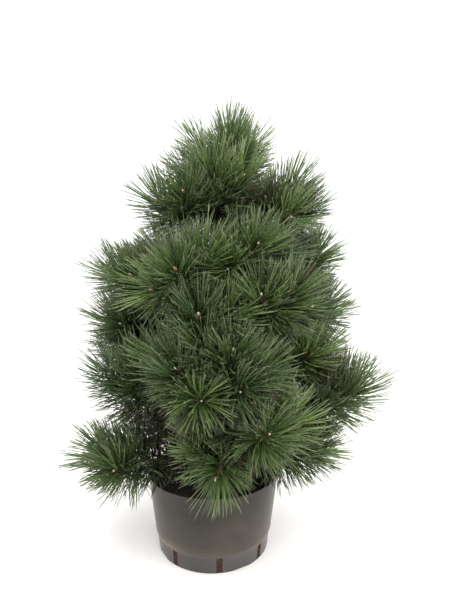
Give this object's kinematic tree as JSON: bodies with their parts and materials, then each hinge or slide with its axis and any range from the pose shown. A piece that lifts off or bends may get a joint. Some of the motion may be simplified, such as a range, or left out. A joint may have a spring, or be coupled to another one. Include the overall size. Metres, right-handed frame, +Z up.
{
  "type": "young pine tree in a nursery pot",
  "caption": "Young long-needled pine with a broad conical crown of upturned tufted shoots on whorled boughs, in a round plastic nursery pot filled with compost.",
  "frame": {"origin": "centre of the pot's flat underside, on the ground", "axes": "+Z up along the pot's axis, -Y towards the front of the plant, +X to the right seen from the front"},
  "size_m": [0.7342, 0.7151, 1.0625],
  "materials": {
    "needles": "satin",
    "bark": "matte",
    "pot_plastic": "satin",
    "compost": "matte"
  },
  "bodies": {
    "root": {"leader_foliage": "needles", "pot": "pot_plastic", "soil": "compost", "tier1_bough_a": "bark", "tier1_bough_b": "bark", "tier1_bough_c": "bark", "tier1_bough_d": "bark", "tier1_bough_e": "bark", "tier1_foliage_a": "needles", "tier1_foliage_b": "needles", "tier1_foliage_c": "needles", "tier1_foliage_d": "needles", "tier1_foliage_e": "needles", "tier2_bough_a": "bark", "tier2_bough_b": "bark", "tier2_bough_c": "bark", "tier2_bough_d": "bark", "tier2_foliage_a": "needles", "tier2_foliage_b": "needles", "tier2_foliage_c": "needles", "tier2_foliage_d": "needles", "tier3_bough_a": "bark", "tier3_bough_b": "bark", "tier3_bough_c": "bark", "tier3_bough_d": "bark", "tier3_bough_e": "bark", "tier3_foliage_a": "needles", "tier3_foliage_b": "needles", "tier3_foliage_c": "needles", "tier3_foliage_d": "needles", "tier3_foliage_e": "needles", "tier4_bough_a": "bark", "tier4_bough_b": "bark", "tier4_bough_c": "bark", "tier4_bough_d": "bark", "tier4_bough_e": "bark", "tier4_foliage_a": "needles", "tier4_foliage_b": "needles", "tier4_foliage_c": "needles", "tier4_foliage_d": "needles", "tier4_foliage_e": "needles", "tier5_bough_a": "bark", "tier5_bough_b": "bark", "tier5_bough_c": "bark", "tier5_bough_d": "bark", "tier5_bough_e": "bark", "tier5_foliage_a": "needles", "tier5_foliage_b": "needles", "tier5_foliage_c": "needles", "tier5_foliage_d": "needles", "tier5_foliage_e": "needles", "tier6_bough_a": "bark", "tier6_bough_b": "bark", "tier6_bough_c": "bark", "tier6_bough_d": "bark", "tier6_foliage_a": "needles", "tier6_foliage_b": "needles", "tier6_foliage_c": "needles", "tier6_foliage_d": "needles", "trunk": "bark"}
  },
  "joints": []
}
